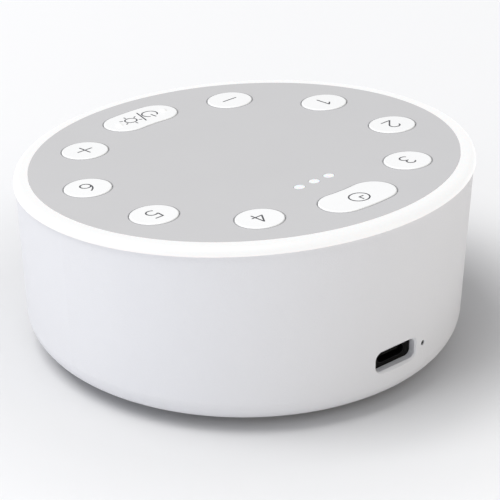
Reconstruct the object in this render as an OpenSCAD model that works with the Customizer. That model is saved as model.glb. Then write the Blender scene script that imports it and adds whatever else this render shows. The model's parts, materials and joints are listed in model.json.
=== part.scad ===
// White noise sound machine: a low round speaker with ten keys and a night-light ring.
// Millimetres, +Z up. The origin lies under the middle of the feet. -Y is the side that
// the user faces, +Y is the side with the charging port, and the key panel slopes down
// from +Y to -Y. Pieces under the panel are drawn in the panel's own tilted frame, where
// 0 is the panel's top and the depths below it are negative.

/* [Housing] */
// Height of the middle of the key panel above the underside of the housing
body_h = 43.1; // [42:0.1:60]
// Outward lean of the wall from foot to top, in degrees
wall_lean = 2.5; // [0:0.25:3]
// Thickness of the wall
wall_t = 2.5; // [2:0.1:3]
// Radius of the rounded edge at the foot of the wall
edge_r = 6; // [3.5:0.5:6]
// Slope of the key panel towards the user, in degrees
top_tilt = 4.8; // [0:0.2:7]
// Thickness of the inner floor that the legs stand on
floor_t = 2.2; // [1.8:0.1:3]

/* [Key panel] */
// Radius of the key panel
panel_r = 51.4; // [46:0.1:58]
// Thickness of the key panel
panel_t = 1.8; // [1.5:0.1:2.4]
// Radius of the panel's screw bosses
panel_boss_r = 3; // [2.5:0.1:3.5]
// Distance between two timer lamps
lamp_pitch = 4.6; // [4:0.1:6]
// Radius of a timer lamp's window
lamp_r = 1.3; // [1:0.1:1.6]

/* [Light ring] */
// Width of the light ring round the panel
ring_w = 3.6; // [3.2:0.1:6]
// Depth of the ring's lower edge below the panel
ring_drop = 2.1; // [1.8:0.1:3]
// Radius of the ring's rounded shoulder
shoulder_r = 1.9; // [0.5:0.1:2.5]
// How far the ring stands out past the wall
lip_proud = 0.4; // [0.3:0.05:0.8]
// Height of the ring's skirt inside the wall
skirt_h = 3; // [2:0.1:4]
// Thickness of the ring's skirt
skirt_t = 1.5; // [1.2:0.1:1.8]
// Number of lamps that light the ring
ring_lamp_count = 20; // [10:10:20]

/* [Keys] */
// Radius of a round key, and of the round ends of a long key
key_r = 5.65; // [5:0.05:5.8]
// Distance from the panel's edge to the middle of a key
key_margin = 12; // [11:0.1:14]
// Half the angle between the round ends of a long key, in degrees
long_key_half_angle = 6.7; // [5:0.1:8]
// Angle between one key and the next, in degrees
key_step = 36; // [34:1:36]
// Height of a key above the panel
key_proud = 0.2; // [0.1:0.05:0.6]
// Radius of a key's rounded rim
key_edge_r = 0.35; // [0.1:0.05:0.6]
// Gap round a key in its hole
key_gap = 0.15; // [0.1:0.05:0.25]
// Travel of a key when it is pressed
key_travel = 0.5; // [0.3:0.05:0.8]
// Width of the flange that holds a key under the panel
flange_w = 1; // [0.8:0.1:1.2]
// Thickness of that flange
flange_t = 0.8; // [0.6:0.1:1.2]
// Radius of the stem under a key
stem_r = 2; // [1.8:0.1:2.4]
// Radius of a long key's two guide pins
pin_r = 1.5; // [1.2:0.1:1.8]
// Radius of the raised pips on the power key
pip_r = 1; // [0.8:0.05:1.2]
// Height of the raised pips on the power key
pip_h = 0.5; // [0.2:0.05:0.5]
// Angle from the middle of the power key to a pip, in degrees
pip_angle = 10.2; // [9:0.1:11]

/* [Key frame and circuit board] */
// Thickness of the frame's plate
plate_t = 1.6; // [1.4:0.1:2.2]
// Radius of the frame's four legs
leg_r = 3.5; // [3:0.1:3.6]
// Angle of the legs from the X axis, in degrees
leg_angle = 36; // [34:1:38]
// Radius of the frame's bosses for the circuit board
board_boss_r = 3; // [2.6:0.1:3.2]
// Thickness of the circuit board
board_t = 1.6; // [1:0.1:2]
// Side of a key switch's square body
switch_w = 6; // [5.5:0.1:6.5]
// Height of a key switch's body
switch_h = 3.4; // [3:0.1:5]
// Radius of a key switch's plunger
plunger_r = 1.75; // [1.5:0.05:2]

/* [Charging port] */
// Height of the port's middle above the underside of the housing
port_h = 10.9; // [10.5:0.1:14]
// Width of the port's opening at its narrow end
port_w = 12.4; // [11:0.1:13]
// Height of the port's opening at its narrow end
port_open_h = 5; // [4.2:0.1:6]
// Radius of that opening's corners
port_corner_r = 1.6; // [0.8:0.1:2]
// Depth and width of the opening's sloped edge
port_flare = 0.75; // [0.6:0.05:1]
// Radius of the hole for the charging lamp
pinhole_r = 0.65; // [0.4:0.05:0.8]
// Angle from the port to that hole round the wall, in degrees
pinhole_angle = 9.8; // [9:0.1:11]
// Thickness of the port's circuit board
port_board_t = 1.2; // [1:0.1:1.6]
// Thickness of the rubber seal behind the opening
seal_t = 0.8; // [0.6:0.1:1]

/* [Base] */
// Height of the feet under the housing
foot_h = 2.5; // [1.5:0.1:5]
// Thickness of the base cover
cover_t = 2; // [1.8:0.1:3]
// Depth of the seats for the feet in the base cover
foot_seat = 0.8; // [0.4:0.1:1]
// Width of a foot
foot_w = 5; // [3:0.5:6]
// Distance from the base cover's edge to a foot
foot_inset = 2.9; // [2:0.1:5]
// Half the angle that a foot spans, in degrees
foot_half_angle = 20; // [10:1:22]
// Number of rings of slots in the speaker's grille
grille_rings = 6; // [4:1:6]
// Width of a slot
grille_slot_w = 1.5; // [1:0.1:1.8]
// Width of the ribs between the slots of one ring
grille_rib_w = 1.2; // [0.8:0.1:1.2]
// Number of slots in one ring
grille_sectors = 6; // [3:1:6]

/* [Speaker] */
// Radius of the speaker's frame, as a share of the radius of the opening above it
speaker_share = 0.577; // [0.55:0.001:0.6]
// Height of the speaker's basket
basket_h = 11; // [9:0.5:14]
// Radius of the speaker's magnet
magnet_r = 14.5; // [13:0.5:15]
// Height of the speaker's magnet
magnet_h = 6; // [4:0.5:7]
// Radius of the voice coil
coil_r = 6.3; // [5.5:0.1:7]

/* [Battery] */
// Radius of the rechargeable cell
cell_r = 9; // [7:0.1:10]
// Length of the rechargeable cell
cell_len = 50; // [45:1:56]

/* [Hidden] */
$fn = 64;
far = 200;              // longer than anything that a cut goes through
hair = 0.01;            // a step too small to see or feel
seat_gap = 0.05;        // between a resting key's flange and the panel
stop_gap = 0.15;        // between a pressed key's flange and the frame
slide_gap = 0.15;       // round stems and pins in the frame's holes
plunger_gap = 0.1;      // round a plunger in its switch
fit_gap = 0.1;          // round a piece that seats in another
loose_gap = 0.3;        // between parts that must not touch
screw_r = 1.2;          // shank of the long screws
small_screw_r = 0.85;   // shank of the short screws
small_head_r = 1.8;     // their heads
small_head_h = 1.2;
thread_gap = 0.05;      // round a shank in its pilot hole
pass_gap = 0.35;        // round a shank in a clearance hole
screw_bite = 12;        // thread of a long screw in its leg
screw_seat_r = 3;       // radius of a long screw's recess
screw_seat = 0.8;       // depth of that recess
seat_rim = 1.8;         // between the recess and the base cover's edge
boss_gap = 2.4;         // between a key switch and the nearest boss
boss_step = 7;          // from the board's bosses in to the panel's
lens_bar_r = 2;         // half the width of the bar that joins the timer's lenses
lens_bar_t = 1.2;       // thickness of that bar
lens_gap = 1.3;         // between that bar and the nearest boss
timer_lamp_h = 0.7;     // height of a timer lamp on the board

panel_z = foot_h + body_h;
ring_out_r = panel_r + ring_w;
wall_top_r = ring_out_r - lip_proud;
cover_top_z = foot_h + cover_t;
floor_z = cover_top_z + floor_t;

// Radius of the outside of the wall at height z
function wall_r(z) = wall_top_r + (z - panel_z) * tan(wall_lean);

// Depths below the panel's top, in its tilted frame
flange_top = -panel_t - seat_gap;
flange_bottom = flange_top - flange_t;
plate_top = flange_bottom - key_travel - stop_gap;
plate_bottom = plate_top - plate_t;
plunger_top = plate_bottom - 0.4;
switch_top = plunger_top - key_travel - 0.3;
board_top = switch_top - switch_h;
board_bottom = board_top - board_t;

// Radii on the panel and the boards, from the edge inwards
key_circle_r = panel_r - key_margin;
board_boss_circle_r = key_circle_r - switch_w / 2 - boss_gap - board_boss_r;
panel_boss_circle_r = board_boss_circle_r - boss_step;
lamp_row_y = board_boss_circle_r - board_boss_r - lens_gap - lens_bar_r;
plate_hole_r = panel_boss_circle_r - panel_boss_r - 5;

// Radii of what nests inside the wall
skirt_out_r = wall_top_r - wall_t - 0.4;
skirt_in_r = skirt_out_r - skirt_t;
plate_r = skirt_in_r - 0.2;
board_r = plate_r - 1;
ledge_in_r = key_circle_r + key_r + flange_w + 0.95;
window_in_r = ledge_in_r + fit_gap;
window_out_r = plate_r - 0.6;
window_half_angle = 13;

// Radii on the underside, from the edge inwards
edge_centre_z = foot_h + edge_r;
edge_centre_r = wall_r(edge_centre_z) - edge_r / cos(wall_lean);
cover_r = edge_centre_r - 0.5;
foot_circle_r = cover_r - foot_inset - foot_w / 2;
leg_circle_r = cover_r - seat_rim - screw_seat_r;
leg_angles = [leg_angle, 180 - leg_angle, 180 + leg_angle, -leg_angle];
floor_opening_r = leg_circle_r - leg_r - 0.5;

// Where the keys stand, in degrees from +X
timer_angle = 90;
power_angle = -90;
plus_angle = power_angle + key_step;
minus_angle = power_angle - key_step;
sound_angles = [
    timer_angle + 3 * key_step,
    timer_angle + 2 * key_step,
    timer_angle + key_step,
    timer_angle - key_step,
    timer_angle - 2 * key_step,
    timer_angle - 3 * key_step
];
long_angles = [timer_angle, power_angle];
round_angles = concat([plus_angle, minus_angle], sound_angles);
key_angles = concat(long_angles, round_angles);

port_z = foot_h + port_h;
port_wall_r = wall_r(port_z);
port_inner_y = port_wall_r - wall_t;
plug_w = 8.94;          // the standard charging socket's outer width
plug_h = 3.26;          // its outer height
plug_depth = 7.3;       // its length
plug_skin = 0.3;        // thickness of its metal shell
seal_lip = 1;            // how far the seal reaches behind the wall
seal_rise = 0.25;       // how far it rises into the opening
seal_step_y = port_inner_y - 0.8;
seal_back_y = seal_step_y - seal_t;
plug_mouth_y = port_inner_y + seal_rise - fit_gap;
port_board_z = port_z - plug_h / 2 - port_board_t;
port_board_edge_r = seal_back_y - fit_gap;
port_board_depth = 11.8;
port_board_back_y = port_board_edge_r - port_board_depth;
port_board_half_w = 13;
port_post_x = 9.6;
port_post_y = port_board_back_y + 3.2;

speaker_r = speaker_share * floor_opening_r;
speaker_offset = floor_opening_r - speaker_r - 3;
speaker_z = cover_top_z;
gasket_t = 1;
rim_t = 1.2;
rim_z = speaker_z + gasket_t;
rim_in_r = speaker_r - 2.6;
grille_pitch = (rim_in_r - 0.7) / grille_rings;
basket_z = rim_z + rim_t;
basket_top_z = basket_z + basket_h;
basket_plate_t = 1.6;
magnet_z = basket_top_z + basket_plate_t;
yoke_t = 2.2;
pole_r = coil_r - 0.9;
pole_hole_r = coil_r + 0.8;
clamp_post_r = 2.2;
clamp_circle_r = speaker_r + clamp_post_r + 0.2;
clamp_head_r = 3.4;

cradle_t = 1.5;
cell_z = cover_top_z + cradle_t + cell_r + loose_gap;
clip_t = 1.4;
clip_w = 8;
clip_x = 0.3 * cell_len;
clip_r = cell_r + loose_gap + clip_t;
cell_offset = speaker_r - speaker_offset + clip_r + 0.8;
ear_r = 3;
ear_x = cell_len / 2;
ear_y = cell_offset - cell_r - ear_r;

wire_r = 0.6;
wire_steps = 12;

// ---- Shared shapes ----

// Moves its children into the panel's tilted frame
module on_top() {
    translate([0, 0, panel_z]) rotate([top_tilt, 0, 0]) children();
}

// Everything above a depth in the panel's tilted frame
module above(depth) {
    on_top() translate([-far, -far, depth]) cube([2 * far, 2 * far, far]);
}

// Copies of its children at each angle, at a distance from the middle
module round_about(angles, circle_r) {
    for (angle = angles) rotate(angle) translate([circle_r, 0, 0]) children();
}

// A cylinder from one depth up to another
module column(r, low, high) {
    translate([0, 0, low]) cylinder(h = high - low, r = r);
}

// A ring with square edges
module tube(r_out, r_in, low, high) {
    difference() {
        column(r_out, low, high);
        column(r_in, low - 1, high + 1);
    }
}

// What a rounded corner leaves out of a square one
module corner_waste(r) {
    difference() {
        translate([-r, -r]) square(r + 1);
        translate([-r, -r]) circle(r);
    }
}

// A flat bar that follows a circle, with round ends that meet it in a step of one hair
module arc_bar(circle_r, half_angle, r) {
    intersection() {
        difference() {
            circle(circle_r + r);
            circle(circle_r - r);
        }
        polygon([
            [0, 0],
            [far * cos(half_angle), -far * sin(half_angle)],
            [far * cos(half_angle), far * sin(half_angle)]
        ]);
    }
    for (side = [-1, 1]) rotate(side * half_angle) translate([circle_r, 0]) circle(r - hair);
}

// The slab of a round or a long key, grown by a margin
module key_slab(is_long, grow, low, high) {
    translate([0, 0, low]) linear_extrude(high - low) {
        if (is_long) arc_bar(key_circle_r, long_key_half_angle, key_r + grow);
        else translate([key_circle_r, 0]) circle(key_r + grow);
    }
}

// A pan-head screw with its tip up: the head's top is at 0 and the shank rises from it
module screw(r, length, head_r, head_h) {
    difference() {
        union() {
            cylinder(h = head_h, r = head_r);
            column(r, 0, head_h + length);
        }
        for (turn = [0, 90]) {
            rotate(turn) translate([-head_r * 0.6, -r / 4, -1]) cube([head_r * 1.2, r / 2, 1 + head_h / 2]);
        }
    }
}

// A point on a smooth curve that leaves a towards b and reaches d from c
function curve_point(t, a, b, c, d) =
    pow(1 - t, 3) * a + 3 * t * pow(1 - t, 2) * b + 3 * t * t * (1 - t) * c + t * t * t * d;

function unit(v) = v / norm(v);

// A round wire along a list of points, as one closed tube. No stretch of it may run along
// side_hint, from which the corners of its cross-sections are turned.
module wire(points) {
    last = len(points) - 1;
    sides = 8;
    side_hint = [1, 1, 0];
    corners = [
        for (i = [0 : last])
            let (
                run = unit(points[min(i + 1, last)] - points[max(i - 1, 0)]),
                across = unit(cross(run, side_hint)),
                upward = cross(run, across)
            )
            for (k = [0 : sides - 1])
                points[i] + wire_r * (cos(k * 360 / sides) * across + sin(k * 360 / sides) * upward)
    ];
    walls = [
        for (i = [0 : last - 1], k = [0 : sides - 1])
            let (low = i * sides, high = low + sides, next = (k + 1) % sides)
            each [[low + next, low + k, high + k], [low + next, high + k, high + next]]
    ];
    start_cap = [for (k = [0 : sides - 1]) k];
    end_cap = [for (k = [sides - 1 : -1 : 0]) last * sides + k];
    polyhedron(corners, concat(walls, [start_cap, end_cap]));
}

// ---- Housing, ring and panel ----

// Half of the solid that a leaning wall encloses, with a rounded edge at its foot
module wall_profile(inset, low_z, corner_r) {
    centre_z = low_z + corner_r;
    centre_r = wall_r(centre_z) - inset - corner_r / cos(wall_lean);
    top_z = panel_z + far / 10;
    polygon([
        [0, low_z],
        [centre_r, low_z],
        [centre_r + corner_r * cos(wall_lean), centre_z - corner_r * sin(wall_lean)],
        [wall_r(top_z) - inset, top_z],
        [0, top_z]
    ]);
    translate([centre_r, centre_z]) circle(corner_r);
}

// A rectangle with rounded corners, grown or shrunk by a margin
module round_rectangle(width, height, corner_r, grow) {
    side_x = width / 2 - corner_r;
    side_z = height / 2 - corner_r;
    square([width + 2 * grow, 2 * side_z], center = true);
    square([2 * side_x, height + 2 * grow], center = true);
    for (sx = [-1, 1], sz = [-1, 1]) translate([sx * side_x, sz * side_z]) circle(corner_r + grow);
}

// The socket's opening through the wall: narrow inside, with an edge that slopes outwards
module port_opening() {
    side_x = port_w / 2 - port_corner_r;
    side_z = port_open_h / 2 - port_corner_r;
    reach = port_flare + 2;     // the sloped edge goes on past the curved wall
    inner_y = port_wall_r - port_flare;
    translate([0, inner_y, port_z]) rotate([-90, 0, 0]) {
        translate([0, 0, -far / 10]) linear_extrude(far / 10 + 1)
            round_rectangle(port_w, port_open_h, port_corner_r, 0);
        for (sx = [-1, 1], sz = [-1, 1]) {
            translate([sx * side_x, sz * side_z, 0])
                cylinder(h = reach, r1 = port_corner_r, r2 = port_corner_r + reach);
        }
        rotate([90, 0, 90]) translate([0, 0, -side_x]) linear_extrude(2 * side_x) polygon([
            [-port_open_h / 2, 0],
            [port_open_h / 2, 0],
            [port_open_h / 2 + reach, reach],
            [-port_open_h / 2 - reach, reach]
        ]);
        rotate([90, 0, 0]) translate([0, 0, -side_z]) linear_extrude(2 * side_z) polygon([
            [-port_w / 2, 0],
            [port_w / 2, 0],
            [port_w / 2 + reach, reach],
            [-port_w / 2 - reach, reach]
        ]);
    }
}

module housing() {
    color([0.93, 0.93, 0.94]) {
        difference() {
            rotate_extrude() difference() {
                wall_profile(0, foot_h, edge_r);
                wall_profile(wall_t, floor_z, edge_r / 2);
            }
            above(-ring_drop);
            column(floor_opening_r, 0, floor_z + 1);
            column(cover_r + fit_gap, 0, cover_top_z);
            round_about(leg_angles, leg_circle_r) column(screw_r + pass_gap, 0, floor_z + 1);
            port_opening();
            rotate(90 + pinhole_angle) translate([port_inner_y - 2 * wall_t, 0, port_z])
                rotate([0, 90, 0]) cylinder(h = far / 4, r = pinhole_r);
        }
        for (side = [-1, 1]) translate([side * port_post_x, port_post_y, 0]) {
            tube(2.4, small_screw_r + thread_gap, floor_z, port_board_z);
        }
    }
}

module light_ring() {
    color("white") on_top() rotate_extrude() difference() {
        polygon([
            [panel_r + fit_gap, 0],
            [ring_out_r, 0],
            [ring_out_r, -ring_drop],
            [skirt_out_r, -ring_drop],
            [skirt_out_r, -ring_drop - skirt_h],
            [skirt_in_r, -ring_drop - skirt_h],
            [skirt_in_r, plate_top],
            [ledge_in_r, plate_top],
            [ledge_in_r, -panel_t],
            [panel_r + fit_gap, -panel_t]
        ]);
        translate([ring_out_r, 0]) corner_waste(min(shoulder_r, ring_drop));
    }
}

module top_panel() {
    color([0.78, 0.78, 0.79]) on_top() difference() {
        union() {
            column(panel_r, -panel_t, 0);
            round_about([45, 135, 225, 315], panel_boss_circle_r)
                column(panel_boss_r, plate_top, -panel_t / 2);
        }
        for (angle = long_angles) rotate(angle) key_slab(true, key_gap, -panel_t - 1, 1);
        for (angle = round_angles) rotate(angle) key_slab(false, key_gap, -panel_t - 1, 1);
        round_about([45, 135, 225, 315], panel_boss_circle_r)
            column(small_screw_r + thread_gap, plate_top - 1, -panel_t / 2);
        timer_lamp_places() column(lamp_r + fit_gap, -panel_t - 1, 1);
    }
}

// The three places of the timer's lamps, in the panel's tilted frame
module timer_lamp_places() {
    for (place = [-1, 0, 1]) translate([place * lamp_pitch, lamp_row_y, 0]) children();
}

// One clear moulding: three light guides on a bar under the frame's plate
module timer_lenses() {
    color([0.97, 0.97, 0.97]) on_top() {
        timer_lamp_places() column(lamp_r, board_top + timer_lamp_h + 0.5, 0);
        translate([0, lamp_row_y, plate_bottom - lens_bar_t]) linear_extrude(lens_bar_t) {
            square([2 * lamp_pitch, 2 * lens_bar_r], center = true);
            for (side = [-1, 1]) translate([side * lamp_pitch, 0]) circle(lens_bar_r);
        }
    }
}

// ---- Keys ----

// Half of the cross-section of a key's cap, with a rounded rim
module half_cap_profile(r) {
    low = flange_top - flange_t / 2;
    difference() {
        translate([0, low]) square([r, key_proud - low]);
        translate([r, key_proud]) corner_waste(key_edge_r);
    }
}

// A long key's cap is a stretch of arc with half of a round cap on each of its ends
module key_cap(is_long) {
    if (is_long) {
        rotate(-long_key_half_angle) rotate_extrude(angle = 2 * long_key_half_angle)
            translate([key_circle_r, 0]) {
                half_cap_profile(key_r);
                mirror([1, 0]) half_cap_profile(key_r);
            }
        for (side = [-1, 1]) rotate(side * long_key_half_angle) translate([key_circle_r, 0, 0])
            rotate(side > 0 ? 0 : 180) rotate_extrude(angle = 180) half_cap_profile(key_r);
    } else {
        translate([key_circle_r, 0, 0]) rotate_extrude() half_cap_profile(key_r);
    }
}

module key(angle, is_long) {
    color([0.97, 0.97, 0.98]) on_top() rotate(angle) {
        key_cap(is_long);
        key_slab(is_long, flange_w, flange_bottom, flange_top);
        translate([key_circle_r, 0, 0]) column(stem_r, plunger_top, flange_top);
        if (is_long) {
            round_about([-long_key_half_angle, long_key_half_angle], key_circle_r)
                column(pin_r, plate_bottom, flange_top);
        }
    }
}

// A low round pip that a finger can feel, with its very top cut flat by a hair
module pip() {
    ball_r = (pip_r * pip_r + pip_h * pip_h) / (2 * pip_h);
    rotate_extrude() intersection() {
        translate([0, key_proud + pip_h - ball_r]) circle(ball_r);
        translate([0, key_proud - pip_h]) square([ball_r, 2 * pip_h - hair]);
    }
}

module key_power() {
    key(power_angle, true);
    color([0.97, 0.97, 0.98]) on_top() rotate(power_angle)
        round_about([-pip_angle, pip_angle], key_circle_r) pip();
}

module key_timer() key(timer_angle, true);
module key_minus() key(minus_angle, false);
module key_plus() key(plus_angle, false);
module key_sound(number) key(sound_angles[number - 1], false);

// ---- Switches and circuit board ----

module plunger(angle) {
    color([0.2, 0.2, 0.22]) on_top() rotate(angle) translate([key_circle_r, 0, 0])
        column(plunger_r, switch_top - 1.2, plunger_top);
}

module key_switches() {
    bore_low = switch_top - 1.2 - key_travel - stop_gap;
    color([0.16, 0.16, 0.17]) on_top() for (angle = key_angles) {
        rotate(angle) translate([key_circle_r, 0, 0]) difference() {
            translate([-switch_w / 2, -switch_w / 2, board_top]) cube([switch_w, switch_w, switch_h]);
            column(plunger_r + plunger_gap, bore_low, switch_top + 1);
        }
    }
}

// The frame that guides the keys, carries the board and stands on four legs
module key_frame() {
    stem_hole_r = stem_r + slide_gap;
    pin_hole_r = pin_r + slide_gap;
    color([0.9, 0.9, 0.9]) difference() {
        union() {
            on_top() column(plate_r, plate_bottom, plate_top);
            difference() {
                round_about(leg_angles, leg_circle_r) column(leg_r, floor_z, panel_z + far / 10);
                above(plate_top);
            }
            on_top() round_about([0, 90, 180, 270], board_boss_circle_r)
                column(board_boss_r, board_top, plate_bottom);
        }
        on_top() {
            column(plate_hole_r, plate_bottom - 1, plate_top + 1);
            round_about(key_angles, key_circle_r) column(stem_hole_r, plate_bottom - 1, plate_top + 1);
            for (angle = long_angles, side = [-1, 1]) {
                round_about([angle + side * long_key_half_angle], key_circle_r)
                    column(pin_hole_r, plate_bottom - 1, plate_top + 1);
            }
            round_about([45, 135, 225, 315], panel_boss_circle_r)
                column(small_screw_r + pass_gap, plate_bottom - 1, plate_top + 1);
            round_about([0, 90, 180, 270], board_boss_circle_r)
                column(small_screw_r + thread_gap, board_top - 1, plate_bottom + plate_t / 2);
            timer_lamp_places() column(lamp_r + slide_gap, plate_bottom - 1, plate_top + 1);
            for (angle = key_angles) rotate(angle - window_half_angle) {
                translate([0, 0, plate_bottom - 1])
                    rotate_extrude(angle = 2 * window_half_angle)
                        translate([window_in_r, 0]) square([window_out_r - window_in_r, plate_t + 2]);
            }
        }
        round_about(leg_angles, leg_circle_r)
            column(screw_r + thread_gap, floor_z - 1, floor_z + screw_bite + 2);
    }
}

module main_board() {
    color([0.1, 0.35, 0.2]) difference() {
        on_top() column(board_r, board_bottom, board_top);
        round_about(leg_angles, leg_circle_r) column(leg_r + loose_gap, floor_z, panel_z);
        on_top() round_about([0, 90, 180, 270], board_boss_circle_r)
            column(small_screw_r + pass_gap, board_bottom - 1, board_top + 1);
    }
}

// What stands under the board: each place is a share of the distance to the board's bosses
chips = [
    // place, then width, length and height
    [[0, 0.35], [9, 9, 1.2]],
    [[0.62, -0.06], [5, 6, 1.5]],
    [[-0.55, 0.1], [5, 4, 1.5]],
    [[-0.62, -0.3], [5, 5, 3]],
    [[-0.25, 0.12], [3.2, 1.6, 0.8]],
    [[0.25, 0.1], [2, 1.2, 0.8]]
];
capacitor_places = [[0.4, 0.36], [0.65, 0.36]];
capacitor_r = 3.1;
capacitor_h = 5.4;

module board_parts() {
    color([0.13, 0.13, 0.14]) on_top() {
        for (chip = chips) {
            size = chip[1];
            translate(board_boss_circle_r * [chip[0].x, chip[0].y, 0])
                translate([-size.x / 2, -size.y / 2, board_bottom - size.z]) cube(size);
        }
        for (place = capacitor_places) translate(board_boss_circle_r * [place.x, place.y, 0])
            column(capacitor_r, board_bottom - capacitor_h, board_bottom);
    }
}

// Places of the three wiring sockets under the board: speaker, battery and port
socket_places = board_boss_circle_r * [[0.87, -0.26], [-0.94, 0.32], [0.26, 1.05]];
socket_w = 8;
socket_l = 6;
socket_h = 5;
socket_low = board_bottom - socket_h;

module board_sockets() {
    color([0.95, 0.95, 0.92]) on_top() for (place = socket_places) {
        translate([place.x - socket_w / 2, place.y - socket_l / 2, socket_low])
            cube([socket_w, socket_l, socket_h]);
    }
}

module ring_lamps() {
    lamp_circle_r = (window_in_r + window_out_r) / 2;
    color([1, 0.95, 0.8]) on_top() for (i = [0.5 : ring_lamp_count]) {
        rotate(i * 360 / ring_lamp_count) translate([lamp_circle_r - 1.4, -1.4, board_top]) {
            cube([2.2, 2.8, 0.8]);
        }
    }
}

module timer_lamps() {
    color([1, 0.95, 0.8]) on_top() timer_lamp_places() {
        translate([-0.8, -0.5, board_top]) cube([1.6, 1, timer_lamp_h]);
    }
}

module panel_screws() {
    color("silver") on_top() round_about([45, 135, 225, 315], panel_boss_circle_r) {
        translate([0, 0, plate_bottom - small_head_h])
            screw(small_screw_r, plate_t + 1.6, small_head_r, small_head_h);
    }
}

module board_screws() {
    color("silver") on_top() round_about([0, 90, 180, 270], board_boss_circle_r) {
        translate([0, 0, board_bottom - small_head_h])
            screw(small_screw_r, board_t + 4, small_head_r, small_head_h);
    }
}

// ---- Base ----

module base_cover() {
    post_h = gasket_t + rim_t;
    color([0.9, 0.9, 0.91]) difference() {
        union() {
            column(cover_r, foot_h, cover_top_z);
            speaker_clamps() column(clamp_post_r, cover_top_z - 0.5, cover_top_z + post_h);
        }
        speaker_clamps() column(small_screw_r + thread_gap, foot_h + 0.8, cover_top_z + post_h + 1);
        round_about(leg_angles, leg_circle_r) {
            column(screw_r + pass_gap, 0, cover_top_z + 1);
            column(screw_seat_r, 0, foot_h + screw_seat);
        }
        for (angle = [0, 90, 180, 270]) rotate(angle) linear_extrude(foot_h + foot_seat)
            arc_bar(foot_circle_r, foot_half_angle, foot_w / 2 + fit_gap);
        cradle_ears() column(small_screw_r + thread_gap, foot_h + 0.8, cover_top_z + 1);
        translate([0, -speaker_offset, 0]) grille_slots();
    }
}

// Rings of curved slots with round ends, round one hole in the middle
module grille_slots() {
    linear_extrude(cover_top_z + 1) {
        circle(grille_slot_w);
        for (ring = [1 : grille_rings], sector = [1 : grille_sectors]) {
            mid_r = ring * grille_pitch;
            rib_angle = 2 * asin((grille_rib_w + grille_slot_w) / 2 / mid_r);
            rotate(sector * 360 / grille_sectors + (ring % 2) * 180 / grille_sectors)
                arc_bar(mid_r, (360 / grille_sectors - rib_angle) / 2, grille_slot_w / 2);
        }
    }
}

// The four places round the speaker where screws clamp its rim
module speaker_clamps() {
    translate([0, -speaker_offset, 0]) round_about([45, 135, 225, 315], clamp_circle_r) children();
}

module feet() {
    color([0.55, 0.55, 0.56]) for (angle = [0, 90, 180, 270]) {
        rotate(angle) linear_extrude(foot_h + foot_seat) arc_bar(foot_circle_r, foot_half_angle, foot_w / 2);
    }
}

module base_screws() {
    head_h = 1.4;
    color("silver") round_about(leg_angles, leg_circle_r) {
        translate([0, 0, foot_h + screw_seat - head_h])
            screw(screw_r, cover_t - screw_seat + floor_t + screw_bite, 2.5, head_h);
    }
}

// ---- Speaker ----

// Moves its children onto the speaker's axis
module on_speaker() {
    translate([0, -speaker_offset, 0]) children();
}

// A thin conical shell between two radii, as thick as t measured along its axis
module cone_shell(low_r, high_r, low, high, t) {
    rotate_extrude() polygon([[low_r, low], [low_r, low + t], [high_r, high + t], [high_r, high]]);
}

module speaker_basket() {
    top_r = magnet_r - 1.5;
    window_w = 0.85 * top_r;
    color([0.3, 0.3, 0.32]) on_speaker() difference() {
        union() {
            tube(speaker_r, rim_in_r, rim_z, basket_z);
            cone_shell(rim_in_r + 1.6, top_r, basket_z - 0.4, basket_top_z, 1.6);
            tube(top_r, pole_hole_r, basket_top_z, magnet_z);
        }
        for (angle = [0, 90, 180, 270]) rotate(angle) {
            translate([top_r + 0.8, -window_w / 2, basket_z + 2]) cube([speaker_r, window_w, basket_h - 3.5]);
        }
    }
}

module speaker_magnet() {
    color([0.2, 0.2, 0.2]) on_speaker() tube(magnet_r, pole_hole_r + 1.5, magnet_z, magnet_z + magnet_h);
}

module speaker_yoke() {
    color("silver") on_speaker() {
        column(magnet_r - 1, magnet_z + magnet_h, magnet_z + magnet_h + yoke_t);
        column(pole_r, basket_top_z, magnet_z + magnet_h + yoke_t / 2);
    }
}

cone_out_r = rim_in_r - 3;
cone_low_z = basket_z + 0.4;
cone_high_z = basket_z + basket_h / 2;

module voice_coil() {
    color([0.72, 0.45, 0.2]) on_speaker()
        tube(coil_r, coil_r - 0.5, cone_high_z, magnet_z + magnet_h / 2);
}

module speaker_cone() {
    color([0.12, 0.12, 0.12]) on_speaker()
        cone_shell(cone_out_r, coil_r + 0.05, cone_low_z, cone_high_z, 0.6);
}

// A half roll between the cone's edge and the rim
module speaker_surround() {
    roll_r = (rim_in_r - cone_out_r) / 2;
    color([0.08, 0.08, 0.08]) on_speaker() rotate_extrude() {
        difference() {
            translate([cone_out_r + roll_r, cone_low_z]) circle(roll_r);
            translate([cone_out_r + roll_r, cone_low_z]) circle(roll_r - 0.4);
            translate([0, cone_low_z]) square([far, far]);
        }
        translate([rim_in_r - 0.4, basket_z]) square([1.2, cone_low_z - basket_z]);
    }
}

module dust_cap() {
    cap_r = coil_r - 0.1;
    cap_h = 1.6;
    ball_r = (cap_r * cap_r + cap_h * cap_h) / (2 * cap_h);
    color([0.1, 0.1, 0.1]) on_speaker() difference() {
        translate([0, 0, cone_high_z - cap_h + ball_r]) sphere(ball_r);
        translate([0, 0, cone_high_z - cap_h + ball_r]) sphere(ball_r - 0.4);
        translate([-far, -far, cone_high_z]) cube([2 * far, 2 * far, far]);
    }
}

module speaker_gasket() {
    color([0.15, 0.15, 0.15]) on_speaker() tube(speaker_r, rim_in_r, speaker_z, rim_z);
}

module speaker_screws() {
    head_h = 1.3;
    color("silver") speaker_clamps() translate([0, 0, basket_z + head_h]) mirror([0, 0, 1])
        screw(small_screw_r, gasket_t + rim_t + 0.6, clamp_head_r, head_h);
}

// ---- Battery ----

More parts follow.
